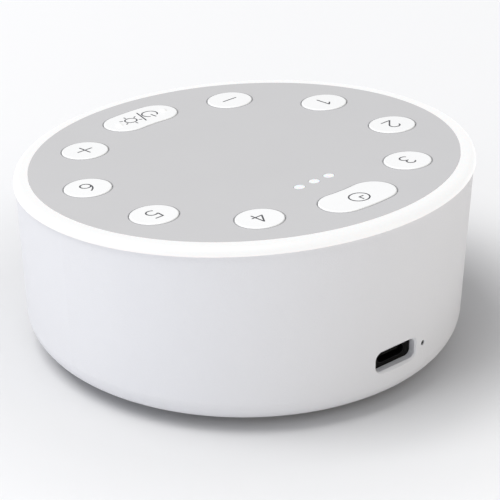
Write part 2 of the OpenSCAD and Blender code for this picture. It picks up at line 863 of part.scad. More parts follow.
module battery_cell() {
    color([0.25, 0.45, 0.7]) translate([-cell_len / 2, cell_offset, cell_z]) rotate([0, 90, 0]) {
        cylinder(h = cell_len - 1, r = cell_r);
        cylinder(h = cell_len, r = cell_r / 3);
    }
}

// The two places of the cradle's fixing ears
module cradle_ears() {
    for (side = [-1, 1]) translate([side * ear_x, ear_y, 0]) children();
}

module battery_cradle() {
    mouth = clip_r * 0.55;
    color([0.85, 0.85, 0.85]) difference() {
        union() {
            intersection() {
                translate([-ear_x - ear_r, cell_offset - ear_r, cover_top_z])
                    cube([2 * (ear_x + ear_r), 2 * ear_r, cradle_t]);
                column(floor_opening_r - loose_gap, cover_top_z - 1, cover_top_z + cradle_t + 1);
            }
            cradle_ears() {
                column(ear_r, cover_top_z, cover_top_z + cradle_t);
                translate([-ear_r, 0, cover_top_z]) cube([2 * ear_r, cell_offset - ear_y, cradle_t]);
            }
            for (side = [-1, 1]) translate([side * clip_x - clip_w / 2, cell_offset, cell_z])
                rotate([0, 90, 0]) cylinder(h = clip_w, r = clip_r);
        }
        translate([-cell_len / 2 - loose_gap, cell_offset, cell_z]) rotate([0, 90, 0])
            cylinder(h = cell_len + 2 * loose_gap, r = cell_r + loose_gap);
        translate([-far / 2, cell_offset - mouth, cell_z]) cube([far, 2 * mouth, far]);
        translate([-far / 2, 0, cover_top_z - far]) cube([far, far, far]);
        cradle_ears() column(small_screw_r + pass_gap, cover_top_z - 1, cover_top_z + cradle_t + 1);
    }
}

module cradle_screws() {
    color("silver") cradle_ears()
        translate([0, 0, cover_top_z + cradle_t + small_head_h]) mirror([0, 0, 1])
            screw(small_screw_r, cradle_t + cover_t - 1.2, small_head_r, small_head_h);
}

// ---- Charging port ----

// A black seal that closes the gap between the opening and the socket
module port_seal() {
    color([0.04, 0.04, 0.04]) difference() {
        translate([0, 0, port_z]) rotate([90, 0, 0]) {
            translate([0, 0, -seal_step_y]) linear_extrude(seal_t)
                round_rectangle(port_w, port_open_h, port_corner_r, seal_lip);
            translate([0, 0, -port_inner_y - seal_rise]) linear_extrude(port_inner_y + seal_rise - seal_step_y)
                round_rectangle(port_w, port_open_h, port_corner_r, -fit_gap);
        }
        plug_bar(plug_w + 2 * fit_gap, plug_h + 2 * fit_gap, seal_back_y - 1, port_inner_y + 1);
    }
}

module port_board() {
    color([0.08, 0.08, 0.09]) difference() {
        intersection() {
            translate([-port_board_half_w, port_board_back_y, port_board_z])
                cube([2 * port_board_half_w, far, port_board_t]);
            column(port_board_edge_r, port_board_z - 1, port_board_z + port_board_t + 1);
        }
        for (side = [-1, 1]) translate([side * port_post_x, port_post_y, 0])
            column(small_screw_r + pass_gap, port_board_z - 1, port_board_z + port_board_t + 1);
    }
}

// A bar with fully rounded sides, lying along Y from one place to another
module plug_bar(width, height, low_y, high_y) {
    translate([0, high_y, port_z]) rotate([90, 0, 0]) linear_extrude(high_y - low_y) {
        square([width - height, height], center = true);
        for (side = [-1, 1]) translate([side * (width - height) / 2, 0]) circle(height / 2);
    }
}

module port_shell() {
    back_y = plug_mouth_y - plug_depth;
    color([0.25, 0.25, 0.26]) difference() {
        plug_bar(plug_w, plug_h, back_y, plug_mouth_y);
        plug_bar(plug_w - 2 * plug_skin, plug_h - 2 * plug_skin, back_y + 1, plug_mouth_y + 1);
    }
}

module port_tongue() {
    tongue_w = 6.7;
    tongue_t = 0.7;
    color([0.06, 0.06, 0.06])
        translate([-tongue_w / 2, plug_mouth_y - plug_depth + 1, port_z - tongue_t / 2])
            cube([tongue_w, plug_depth - 2, tongue_t]);
}

module charge_lamp() {
    board_top_z = port_board_z + port_board_t;
    lamp_w = 2.6;
    lamp_t = 1.6;
    color([0.9, 0.95, 0.9]) rotate(90 + pinhole_angle)
        translate([port_board_edge_r - 0.1 - lamp_t, -lamp_w / 2, board_top_z])
            cube([lamp_t, lamp_w, port_z - board_top_z + 0.8]);
}

module port_screws() {
    board_top_z = port_board_z + port_board_t;
    color("silver") for (side = [-1, 1]) {
        translate([side * port_post_x, port_post_y, board_top_z + small_head_h]) mirror([0, 0, 1])
            screw(small_screw_r, board_top_z - floor_z - 0.6, small_head_r, small_head_h);
    }
}

// ---- Wiring ----

// Height of the mouth of the wiring socket under a place on the board
function socket_z(place) =
    panel_z + place.y * sin(top_tilt) + socket_low * cos(top_tilt) - loose_gap;

// Y of the mouth of the wiring socket under a place on the board
function socket_y(place) = place.y * cos(top_tilt) - socket_low * sin(top_tilt);

// Two wires, one on each side of a route from start to the wiring socket at a place on the board
module leads(start, way_out, place, beside, tint) {
    end = [place.x, socket_y(place), socket_z(place)];
    reach = norm(end - start) * 0.45;
    color(tint) for (side = [-1, 1]) {
        shift = side * (wire_r + 0.4) * beside;
        wire([
            for (i = [0 : wire_steps])
                shift + curve_point(
                    i / wire_steps, start, start + reach * way_out, end - [0, 0, reach], end
                )
        ]);
    }
}

module speaker_leads() {
    start = [speaker_r, -speaker_offset, basket_z + loose_gap];
    leads(start, [0, 0, 1], socket_places[0], [0, 1, 0], [0.75, 0.1, 0.1]);
}

module battery_leads() {
    start = [-cell_len / 2 - loose_gap, cell_offset - cell_r / 2, cell_z];
    leads(start, [-1, 0, 0.2], socket_places[1], [0, 1, 0], [0.1, 0.1, 0.1]);
}

module port_leads() {
    start = [plug_w / 2, port_board_back_y + 4 * wire_r, port_board_z + port_board_t + loose_gap];
    leads(start, [0, -0.5, 1], socket_places[2], [1, 0, 0], [0.85, 0.85, 0.85]);
}

// ---- Assembly ----

housing();
light_ring();
top_panel();
key_frame();
timer_lenses();
key_power();
key_timer();
key_minus();
key_plus();
key_sound(1);  // key_sound_1
key_sound(2);  // key_sound_2
key_sound(3);  // key_sound_3
key_sound(4);  // key_sound_4
key_sound(5);  // key_sound_5
key_sound(6);  // key_sound_6
plunger(power_angle);  // plunger_power
plunger(timer_angle);  // plunger_timer
plunger(minus_angle);  // plunger_minus
plunger(plus_angle);  // plunger_plus
plunger(sound_angles[0]);  // plunger_sound_1
plunger(sound_angles[1]);  // plunger_sound_2
plunger(sound_angles[2]);  // plunger_sound_3
plunger(sound_angles[3]);  // plunger_sound_4
plunger(sound_angles[4]);  // plunger_sound_5
plunger(sound_angles[5]);  // plunger_sound_6
key_switches();
main_board();
board_parts();
board_sockets();
ring_lamps();
timer_lamps();
panel_screws();
board_screws();
base_cover();
feet();
base_screws();
speaker_basket();
speaker_magnet();
speaker_yoke();
voice_coil();
speaker_cone();
speaker_surround();
dust_cap();
speaker_gasket();
speaker_screws();
battery_cell();
battery_cradle();
cradle_screws();
port_seal();
port_board();
port_shell();
port_tongue();
charge_lamp();
port_screws();
speaker_leads();
battery_leads();
port_leads();
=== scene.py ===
# %% [markdown]
# # Dressing a round white noise sound machine
#
# The machine is a low drum of white plastic. A grey panel with ten white keys slopes
# towards the sleeper, a ring of milky plastic glows round it, and a charging port sits
# low in the back of the wall. The solids arrive finished and in place, so this lesson
# only adds what a workshop adds after moulding: finishes, printed signs and small metal
# contacts. It also paints shade: a fine grey line round each key, a dark plug in the
# charging lamp's hole, a darker port and a darker floor round the machine. A floor,
# lamps and a camera complete the picture. Blender counts in metres, so lengths in
# millimetres carry mm.

# %% Load the solids
import json
import math

import bmesh
import bpy
from mathutils import Matrix, Vector
from mathutils.geometry import delaunay_2d_cdt

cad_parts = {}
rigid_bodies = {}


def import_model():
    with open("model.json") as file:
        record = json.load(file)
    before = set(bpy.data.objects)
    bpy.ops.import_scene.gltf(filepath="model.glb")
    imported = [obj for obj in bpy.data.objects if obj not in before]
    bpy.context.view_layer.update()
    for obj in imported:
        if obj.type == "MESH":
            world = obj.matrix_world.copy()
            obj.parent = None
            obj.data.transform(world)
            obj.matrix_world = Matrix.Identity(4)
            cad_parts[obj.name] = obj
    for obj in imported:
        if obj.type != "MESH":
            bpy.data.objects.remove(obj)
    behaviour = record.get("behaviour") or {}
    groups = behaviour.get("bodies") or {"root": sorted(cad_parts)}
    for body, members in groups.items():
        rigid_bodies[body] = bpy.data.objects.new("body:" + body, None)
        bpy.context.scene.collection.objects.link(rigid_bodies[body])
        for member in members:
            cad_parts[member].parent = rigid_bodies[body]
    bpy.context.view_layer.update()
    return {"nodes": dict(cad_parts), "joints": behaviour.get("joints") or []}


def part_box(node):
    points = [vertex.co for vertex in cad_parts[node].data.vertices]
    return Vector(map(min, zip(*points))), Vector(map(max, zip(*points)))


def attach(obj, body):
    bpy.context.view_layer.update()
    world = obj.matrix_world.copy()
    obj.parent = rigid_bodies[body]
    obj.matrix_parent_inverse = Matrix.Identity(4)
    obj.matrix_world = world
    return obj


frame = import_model()
solids = frame["nodes"]
scene = bpy.context.scene
mm = 0.001


# %% [markdown]
# ## The camera
#
# A product picture of this kind is taken from a little over half a metre with a long
# lens, from behind and above, so that the port and the slope of the panel both show. The
# camera could track an empty, but three plain values are easier to read: where it
# stands, the point it looks at, and the lens.

# %% Camera
camera_place = Vector((0.32997, 0.37590, 0.27705))
camera_aim = Vector((0.00567, 0.00870, 0.02565))
lens_mm, sensor_mm = 166.7, 36
nearest_seen, farthest_seen = 0.01, 20

camera_data = bpy.data.cameras.new("portrait_camera")
camera_data.lens = lens_mm
camera_data.sensor_width = sensor_mm
camera_data.clip_start = nearest_seen
camera_data.clip_end = farthest_seen
camera = bpy.data.objects.new("portrait_camera", camera_data)
camera.location = camera_place
camera.rotation_euler = (camera_aim - camera_place).to_track_quat("-Z", "Y").to_euler()
scene.collection.objects.link(camera)
scene.camera = camera
print("camera to aim:", round((camera_aim - camera_place).length, 3), "m")

# %% [markdown]
# ## The panel's own frame
#
# Every sign is printed square on the sloping panel. Working in the panel's own frame,
# with x to the right, y up the slope and z out of the panel, keeps the drawing flat. The
# slope is read from the direction in which the keys slide, and the height of the
# panel's middle from the panel solid itself, so nothing here repeats the solids.

# %% Panel frame
press_axis = Vector(frame["joints"][0]["axis"])
panel_slope = math.atan2(-press_axis.y, press_axis.z)
panel_low, panel_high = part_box("top_panel")
panel_radius = (panel_high.x - panel_low.x) / 2
panel_middle = panel_high.z - panel_radius * math.sin(panel_slope)
on_panel = Matrix.Translation((0, 0, panel_middle)) @ Matrix.Rotation(panel_slope, 4, "X")
off_panel = on_panel.inverted()
print("slope:", round(math.degrees(panel_slope), 2), "degrees")
print("middle of the panel:", round(panel_middle / mm, 2), "mm up")


def panel_box(node):
    """Lowest and highest corner of a solid in the panel's own frame, in millimetres."""
    corners = [(off_panel @ corner.co) / mm for corner in solids[node].data.vertices]
    low = Vector([min(corner[k] for corner in corners) for k in range(3)])
    high = Vector([max(corner[k] for corner in corners) for k in range(3)])
    return low, high


def key_middle(node):
    """Where the middle of a round key is on the panel, in millimetres."""
    low, high = panel_box(node)
    return Vector(((low.x + high.x) / 2, (low.y + high.y) / 2))


key_top = panel_box("key_plus")[1].z
key_circle = key_middle("key_plus").length
print("keys stand", round(key_top, 3), "mm proud of the panel")
print("they lie on a circle of", round(key_circle, 2), "mm in radius")

# %% [markdown]
# ## Finishes: moulded plastic
#
# A moulded shell isn't one flat colour. The mould is spark-eroded, which leaves a fine
# grain, the gloss wanders a little from place to place, and thick and thin walls differ
# by a shade. All three could come from a picture, but noise in the object's own space
# has no seams, works on any mesh and moves with the piece. One recipe serves every
# solid-coloured plastic here, with the grain, gloss and colour as its ingredients.

# %% Steps that the recipes share
noise_low, noise_high = 0.35, 0.65


def new_finish(name):
    """A new material with its shader and a place in the object's own space, in metres."""
    material = bpy.data.materials.new(name)
    material.use_nodes = True
    tree = material.node_tree
    shader = tree.nodes["Principled BSDF"]
    place = tree.nodes.new("ShaderNodeTexCoord").outputs["Object"]
    return material, tree, shader, place


def add_noise(tree, place, size, detail=2.0):
    """Noise whose lumps are about one size across, in metres."""
    noise = tree.nodes.new("ShaderNodeTexNoise")
    noise.inputs["Scale"].default_value = 1 / size
    noise.inputs["Detail"].default_value = detail
    tree.links.new(place, noise.inputs["Vector"])
    return noise.outputs["Fac"]


def uneven_gloss(tree, shader, value, low, high):
    """Lets the roughness wander from low to high with the usual span of a noise value."""
    remap = tree.nodes.new("ShaderNodeMapRange")
    remap.inputs["From Min"].default_value = noise_low
    remap.inputs["From Max"].default_value = noise_high
    remap.inputs["To Min"].default_value = low
    remap.inputs["To Max"].default_value = high
    tree.links.new(value, remap.inputs["Value"])
    tree.links.new(remap.outputs["Result"], shader.inputs["Roughness"])


def add_grain(tree, shader, value, depth):
    """Bump of a given depth, in metres."""
    bump = tree.nodes.new("ShaderNodeBump")
    bump.inputs["Strength"].default_value = 1
    bump.inputs["Distance"].default_value = depth
    tree.links.new(value, bump.inputs["Height"])
    tree.links.new(bump.outputs["Normal"], shader.inputs["Normal"])


def tint(tree, shader, value, colour, change):
    """Lets the colour wander round its written value by a small share."""
    ramp = tree.nodes.new("ShaderNodeValToRGB")
    for stop, share in zip(ramp.color_ramp.elements, (1 - change, 1 + change)):
        stop.color = (*[min(part * share, 1) for part in colour], 1)
    tree.links.new(value, ramp.inputs["Fac"])
    tree.links.new(ramp.outputs["Color"], shader.inputs["Base Color"])


# %% Recipe for moulded plastic
colour_cloud = 25 * mm
gloss_patch = 8 * mm


def moulded_plastic(
    name, colour, gloss, grain=0.35 * mm, depth=0.012 * mm, change=0.012, shine=0.5
):
    """Plastic with a spark-eroded grain. gloss is the range of its roughness."""
    material, tree, shader, place = new_finish(name)
    shader.inputs["Specular IOR Level"].default_value = shine
    tint(tree, shader, add_noise(tree, place, colour_cloud), colour, change)
    uneven_gloss(tree, shader, add_noise(tree, place, gloss_patch, detail=3), *gloss)
    add_grain(tree, shader, add_noise(tree, place, grain, detail=3), depth)
    return material


# %% White, grey and black plastics
shell_white = moulded_plastic(
    "shell_white", (0.80, 0.80, 0.83), gloss=(0.46, 0.54), depth=0.045 * mm
)
panel_grey = moulded_plastic(
    "panel_grey", (0.605, 0.60, 0.61), gloss=(0.62, 0.7), grain=0.3 * mm
)
key_white = moulded_plastic(
    "key_white", (0.975, 0.975, 0.98), gloss=(0.38, 0.44), depth=0.006 * mm
)
inner_white = moulded_plastic(
    "inner_white", (0.76, 0.76, 0.75), gloss=(0.5, 0.6), grain=0.6 * mm
)
switch_black = moulded_plastic(
    "switch_black", (0.025, 0.025, 0.028), gloss=(0.35, 0.5), change=0.1
)
# The socket's tongue is black plastic, written darker and duller than it is. Part of this
# is painted shade, so that the recessed port looks nearly black.
socket_black_painted_dark = moulded_plastic(
    "socket_black_painted_dark", (0.008, 0.008, 0.008), gloss=(0.7, 0.8), change=0.1, shine=0.1
)
print("plastics made:", len(bpy.data.materials))

# %% [markdown]
# ## Finishes: the milky ring
#
# The ring is polycarbonate filled with a white scattering powder, and the row of lamps
# under it is on at its dimmest step. Light spreads inside it, so it looks evenly white
# even where it turns away from the lamps. A lamp inside a volume would be slow and
# grainy. A little scattering below the surface and a steady glow give the same look. The
# glow carries most of the ring's white, so its own colour is kept dark: a pale one would
# add the studio's light on top and burn out on the near side.

# %% Milky ring and lenses
def milky_plastic(name, colour, glow):
    """Light-scattering plastic, lit from inside with an even glow."""
    material, tree, shader, place = new_finish(name)
    tint(tree, shader, add_noise(tree, place, size=20 * mm), colour, change=0.01)
    uneven_gloss(tree, shader, add_noise(tree, place, size=5 * mm), low=0.36, high=0.44)
    add_grain(tree, shader, add_noise(tree, place, size=0.4 * mm), depth=0.004 * mm)
    shader.inputs["Subsurface Weight"].default_value = 0.25
    shader.inputs["Subsurface Scale"].default_value = 1.5 * mm
    shader.inputs["Emission Color"].default_value = (1, 1, 1, 1)
    shader.inputs["Emission Strength"].default_value = glow
    return material


ring_milk = milky_plastic("ring_milk", (0.24, 0.24, 0.24), glow=0.71)
lens_milk = milky_plastic("lens_milk", (0.86, 0.86, 0.87), glow=0.12)

# %% [markdown]
# ## Finishes: metal, rubber, boards and the speaker
#
# The pieces inside are seen only when the machine is taken apart, but each still gets
# the finish that it has on a bench: steel with a fine, uneven polish, soft matte rubber,
# lacquered board with its copper showing through, fibrous cone paper, dark ferrite. The
# charging socket is the exception. Its shell, contacts, tongue and seal are written far
# darker than steel, gold, plastic and rubber are, as painted shade, so that the recessed
# port looks nearly black.

# %% Recipes for what is inside
def metal(name, colour, roughness=(0.22, 0.34), grain=0.25 * mm):
    """Bare or plated metal with a fine, uneven polish."""
    material, tree, shader, place = new_finish(name)
    shader.inputs["Metallic"].default_value = 1
    tint(tree, shader, add_noise(tree, place, size=3 * mm), colour, change=0.05)
    uneven_gloss(tree, shader, add_noise(tree, place, grain, detail=4), *roughness)
    add_grain(tree, shader, add_noise(tree, place, grain), depth=0.004 * mm)
    return material


def rubber(name, colour, bloom=0.15, shine=0.5):
    """Soft rubber with a dry bloom on it."""
    material, tree, shader, place = new_finish(name)
    tint(tree, shader, add_noise(tree, place, size=6 * mm, detail=4), colour, change=0.12)
    shader.inputs["Roughness"].default_value = 0.82
    shader.inputs["Sheen Weight"].default_value = bloom
    shader.inputs["Specular IOR Level"].default_value = shine
    grain = add_noise(tree, place, size=0.5 * mm, detail=4)
    add_grain(tree, shader, grain, depth=0.03 * mm)
    return material


track_cell = 6 * mm
darker_cell = 0.85


def lacquered_board(name, lacquer, copper_shade):
    """Circuit board: lacquer over tracks that run round cells of two shades."""
    material, tree, shader, place = new_finish(name)
    tracks = tree.nodes.new("ShaderNodeTexBrick")
    tracks.inputs["Scale"].default_value = 1 / track_cell
    tracks.inputs["Mortar Size"].default_value = 0.03
    tracks.inputs["Color1"].default_value = (*lacquer, 1)
    tracks.inputs["Color2"].default_value = (*[part * darker_cell for part in lacquer], 1)
    tracks.inputs["Mortar"].default_value = (*copper_shade, 1)
    tree.links.new(place, tracks.inputs["Vector"])
    tree.links.new(tracks.outputs["Color"], shader.inputs["Base Color"])
    shader.inputs["Roughness"].default_value = 0.32
    shader.inputs["Coat Weight"].default_value = 0.4
    add_grain(tree, shader, tracks.outputs["Fac"], depth=0.02 * mm)
    return material


def fibre(name, colour):
    """Pressed paper or pulp with crossing fibres."""
    material, tree, shader, place = new_finish(name)
    tint(tree, shader, add_noise(tree, place, size=1.2 * mm, detail=6), colour, change=0.35)
    shader.inputs["Roughness"].default_value = 0.9
    fibres = add_noise(tree, place, size=0.5 * mm, detail=8)
    add_grain(tree, shader, fibres, depth=0.06 * mm)
    return material


# %% The finishes inside
screw_steel = metal("screw_steel", (0.56, 0.56, 0.57))
# The socket's shell and contacts are written far darker than steel and gold. This is
# painted shade, so that the recessed port looks nearly black.
port_steel_painted_dark = metal("port_steel_painted_dark", (0.02, 0.02, 0.021), roughness=(0.5, 0.6))
contact_gold_painted_dark = metal("contact_gold_painted_dark", (0.16, 0.115, 0.045), roughness=(0.5, 0.6))
coil_copper = metal("coil_copper", (0.6, 0.27, 0.13), grain=0.12 * mm)
basket_black = moulded_plastic(
    "basket_black", (0.03, 0.03, 0.032), gloss=(0.3, 0.42), change=0.1
)
ferrite = moulded_plastic(
    "ferrite", (0.04, 0.04, 0.042), gloss=(0.55, 0.8), grain=0.9 * mm, change=0.2
)
foot_rubber = rubber("foot_rubber", (0.30, 0.30, 0.305))
# The seal is written darker and duller than rubber is, as painted shade for the dark port.
# The speaker's rubber parts share it.
seal_rubber_painted_dark = rubber("seal_rubber_painted_dark", (0.008, 0.008, 0.008), bloom=0, shine=0.1)
board_green = lacquered_board("board_green", (0.01, 0.085, 0.035), (0.03, 0.16, 0.06))
board_black = lacquered_board("board_black", (0.012, 0.012, 0.014), (0.03, 0.03, 0.032))
cone_paper = fibre("cone_paper", (0.02, 0.02, 0.02))
lamp_phosphor = milky_plastic("lamp_phosphor", (0.85, 0.78, 0.45), glow=0.2)
# Painted shade: the charging lamp and the plug in front of it are written nearly black, so
# that the lamp's small hole reads dark.
lamp_smoked = moulded_plastic(
    "lamp_smoked", (0.012, 0.012, 0.013), gloss=(0.4, 0.5), change=0.1, shine=0.2
)
cell_wrap = moulded_plastic(
    "cell_wrap", (0.05, 0.16, 0.42), gloss=(0.2, 0.28), grain=2 * mm, change=0.05
)
lead_red = moulded_plastic("lead_red", (0.42, 0.02, 0.02), gloss=(0.3, 0.4))
lead_black = moulded_plastic("lead_black", (0.02, 0.02, 0.02), gloss=(0.3, 0.4))
lead_white = moulded_plastic("lead_white", (0.7, 0.7, 0.69), gloss=(0.3, 0.4))
print("finishes made:", len(bpy.data.materials))

# %% [markdown]
# ## Handing the finishes out
#
# A solid keeps its shape and only swaps its material, so the table below is the whole
# job: each finish and the solids that wear it.

# %% Give each solid its finish
sound_count = 6
long_keys = ["power", "timer"]
round_keys = ["minus", "plus"] + [f"sound_{number + 1}" for number in range(sound_count)]
key_names = long_keys + round_keys
wearers = {
    shell_white: ["housing", "base_cover"],
    ring_milk: ["light_ring"],
    panel_grey: ["top_panel"],
    lens_milk: ["timer_lenses"],
    key_white: [f"key_{key}" for key in key_names],
    inner_white: ["key_frame", "battery_cradle", "board_sockets"],
    switch_black: [f"plunger_{key}" for key in key_names] + ["key_switches", "board_parts"],
    socket_black_painted_dark: ["port_tongue"],
    board_green: ["main_board"],
    board_black: ["port_board"],
    lamp_phosphor: ["ring_lamps", "timer_lamps"],
    lamp_smoked: ["charge_lamp"],
    screw_steel: [
        "panel_screws", "board_screws", "base_screws", "speaker_screws",
        "cradle_screws", "port_screws", "speaker_yoke",
    ],
    foot_rubber: ["feet"],
    seal_rubber_painted_dark: ["speaker_surround", "speaker_gasket", "port_seal"],
    basket_black: ["speaker_basket"],
    ferrite: ["speaker_magnet"],
    coil_copper: ["voice_coil"],
    cone_paper: ["speaker_cone", "dust_cap"],
    cell_wrap: ["battery_cell"],
    port_steel_painted_dark: ["port_shell"],
    lead_red: ["speaker_leads"],
    lead_black: ["battery_leads"],
    lead_white: ["port_leads"],
}
for finish, names in wearers.items():
    for name in names:
        solids[name].material_slots[0].material = finish
dressed = {name for names in wearers.values() for name in names}
print("solids without a finish:", set(solids) - dressed)

# %% [markdown]
# ## Printed signs
#
# The signs on the keys are pad-printed in thin dark grey ink with round line ends. Text
# objects and images could draw them, but a stroke font of our own gives every sign an
# even line, a shade finer on the crowded long keys. Each sign is a list of strokes. Every
# stroke becomes a flat outline with round ends, the outlines are merged into one flat
# shape, so crossing strokes leave no doubled faces, and the shape is raised into a film
# of ink. The film is thin and half sunk into the surface, because two faces at exactly
# the same height would flicker. All signs are drawn in millimetres.

# %% Strokes
ink_width, fine_width = 0.4, 0.38
cap_steps = 8


def arc(x, y, radius, start, end, steps=28):
    """Points along an arc, from one angle to another in degrees."""
    angles = [math.radians(start + (end - start) * i / steps) for i in range(steps + 1)]
    return [Vector((x + radius * math.cos(a), y + radius * math.sin(a))) for a in angles]


def circle(x, y, radius):
    """A full circle as two half circles, because a stroke can't end where it starts."""
    return [arc(x, y, radius, 0, 180), arc(x, y, radius, 180, 360)]


def line(*corners):
    """One straight stroke for each pair of neighbouring corners."""
    points = [Vector(corner) for corner in corners]
    return [[a, b] for a, b in zip(points, points[1:])]


def bend(start, pull, end, steps=16):
    """A smooth stroke from start to end that is drawn towards pull."""
    start, pull, end = Vector(start), Vector(pull), Vector(end)
    shares = [i / steps for i in range(steps + 1)]
    return [(1 - t) ** 2 * start + 2 * t * (1 - t) * pull + t * t * end for t in shares]


def outline(stroke, width):
    """The closed outline of a stroke with round ends, anticlockwise."""
    sides = []
    for i, point in enumerate(stroke):
        run = (stroke[min(i + 1, len(stroke) - 1)] - stroke[max(i - 1, 0)]).normalized()
        sides.append(Vector((run.y, -run.x)) * width / 2)
    right = [point + side for point, side in zip(stroke, sides)]
    left = [point - side for point, side in zip(stroke, sides)]

    def cap(middle, from_side):
        turns = [math.pi * i / cap_steps for i in range(1, cap_steps)]
        return [middle + Matrix.Rotation(turn, 2) @ from_side for turn in turns]

    return right + cap(stroke[-1], sides[-1]) + left[::-1] + cap(stroke[0], -sides[0])


# %% From strokes to a film of ink
ink_film = 0.02
ink_sink = 0.01

# The first value asks for triangles inside the outlines only. Corners closer to each
# other than the second become one.
inside_only, too_close = 1, 1e-5


def merge_outlines(outlines):
    """One flat patch of triangles that covers all the outlines, as corners and faces."""
    corners, loops = [], []
    for shape in outlines:
        loops.append(list(range(len(corners), len(corners) + len(shape))))
        corners += shape
    corners, _, faces, _, _, covers = delaunay_2d_cdt(
        corners, [], loops, inside_only, too_close
    )
    return corners, [face for face, covered_by in zip(faces, covers) if covered_by]


def raised_film(name, outlines, low, high, stand):
    """A flat film of merged outlines, drawn in millimetres and put in place by stand."""
    corners, faces = merge_outlines(outlines)
    shape = bmesh.new()
    flat = [shape.verts.new((corner.x, corner.y, low)) for corner in corners]
    for face in faces:
        shape.faces.new([flat[i] for i in face])
    for loose in [vert for vert in shape.verts if not vert.link_faces]:
        shape.verts.remove(loose)
    bmesh.ops.recalc_face_normals(shape, faces=shape.faces)
    raised = bmesh.ops.extrude_face_region(shape, geom=shape.faces[:])
    lifted = [part for part in raised["geom"] if isinstance(part, bmesh.types.BMVert)]
    bmesh.ops.translate(shape, vec=(0, 0, high - low), verts=lifted)
    bmesh.ops.recalc_face_normals(shape, faces=shape.faces)
    mesh = bpy.data.meshes.new(name)
    shape.to_mesh(mesh)
    shape.free()
    mesh.transform(stand @ Matrix.Scale(mm, 4))
    film = bpy.data.objects.new(name, mesh)
    scene.collection.objects.link(film)
    return film


def print_sign(name, strokes, body, middle=(0, 0), size=1, width=ink_width):
    """Prints strokes on the keys' tops, round a middle, and rides on a key's body."""
    placed = [[Vector(middle) + point * size for point in stroke] for stroke in strokes]
    outlines = [outline(stroke, width) for stroke in placed]
    bottom = key_top - ink_sink
    sign = raised_film(name, outlines, bottom, bottom + ink_film, on_panel)
    sign.data.materials.append(ink_grey)
    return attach(sign, body)


# %% Ink
ink_grey = moulded_plastic(
    "ink_grey", (0.09, 0.09, 0.10), gloss=(0.4, 0.5), depth=0.002 * mm, change=0.08
)

# %% [markdown]
# ## Plus, minus and clock
#
# A round key's sign is printed on the middle of its top, which is read from the key
# itself. The clock on the long key is a ring with two hands that don't touch it.

# %% Signs of single keys
arm = 2.05
across, upright = line((-arm, 0), (arm, 0)), line((0, -arm), (0, arm))
print_sign("plus_sign", across + upright, "press_plus", key_middle("key_plus"))
print_sign("minus_sign", across, "press_minus", key_middle("key_minus"))

clock_radius = 2.4
minute_hand, hour_hand = 1.43, 1.14
clock_place = (0.1, key_circle + 0.4)
clock_strokes = circle(0, 0, clock_radius) + line((0, minute_hand), (0, 0), (-hour_hand, 0))
print_sign("clock_sign", clock_strokes, "press_timer", clock_place, width=fine_width)

# %% [markdown]
# ## Power, slash and sun
#
# The long key at the front switches the sound and the night light, so it carries two
# signs with a slash between them. The power sign is a ring with a gap at its top, in
# which a short bar stands.

# %% Signs of the power key
power_radius, power_gap = 1.95, 70
bar_start, bar_end = 0.65, 2.5
power_place = (-3.2, -key_circle - 0.1)
gap_left, gap_right = 90 + power_gap / 2, 450 - power_gap / 2
power_strokes = [arc(0, 0, power_radius, gap_left, gap_right, steps=40)]
power_strokes += line((0, bar_start), (0, bar_end))
print_sign("power_sign", power_strokes, "press_power", power_place, width=fine_width)

slash_end = Vector((0.82, 2.9))
slash_place = (-0.62, -key_circle - 0.1)
slash = line(-slash_end, slash_end)
print_sign("slash_sign", slash, "press_power", slash_place, width=fine_width)

sun_radius, ray_count = 1.5, 6
ray_start, ray_end = 2.15, 2.75
sun_place = (2.88, -key_circle)
sun_strokes = circle(0, 0, sun_radius)
for ray in range(ray_count):
    turn = math.radians((ray + 0.5) * 360 / ray_count)
    towards = Vector((math.cos(turn), math.sin(turn)))
    sun_strokes.append([towards * ray_start, towards * ray_end])
print_sign("sun_sign", sun_strokes, "press_power", sun_place, width=fine_width)

# %% [markdown]
# ## Plain numbers for the sounds
#
# The six sound keys are numbered. Each digit is drawn in a box one unit high, with its
# middle at the origin, and then scaled up.

# %% Digits
digit_height = 4.4
digits = {
    1: line((-0.2, 0.26), (0.05, 0.5), (0.05, -0.5)),
    2: [arc(0, 0.21, 0.29, 165, -38)] + line((0.23, 0.03), (-0.3, -0.5), (0.32, -0.5)),
    3: [arc(0, 0.265, 0.235, 150, -90), arc(0, -0.235, 0.265, 90, -145)],
    4: line((0.13, -0.5), (0.13, 0.5), (-0.32, -0.2), (0.32, -0.2)),
    5: line((0.26, 0.5), (-0.2, 0.5), (-0.24, 0.06)) + [arc(-0.01, -0.2, 0.3, 132, -135)],
    6: circle(0, -0.21, 0.29) + [bend((0.14, 0.5), (-0.29, 0.24), (-0.29, -0.21))],
}
for number, strokes in digits.items():
    name, body = f"digit_{number}", f"press_sound_{number}"
    print_sign(name, strokes, body, key_middle(f"key_sound_{number}"), size=digit_height)
signs = [o.name for o in scene.objects if "sign" in o.name or "digit" in o.name]
print("signs printed:", len(signs))

# %% [markdown]
# ## Painted shade round each key
#
# Round each key a narrow gap shows as a thin grey line of shade. A bevel on the panel
# would also draw it, but a solid's mesh stays as it is, so the shade is painted as one
# more flat grey film on the panel. Two half circles make the line of a round key. A long
# key's line has two half circles at its ends and two arcs round the middle of the panel
# between them. All sizes are read from the keys and their holes.

# %% Painted shade lines round the keys
line_width = 0.14
line_margin = 0.02

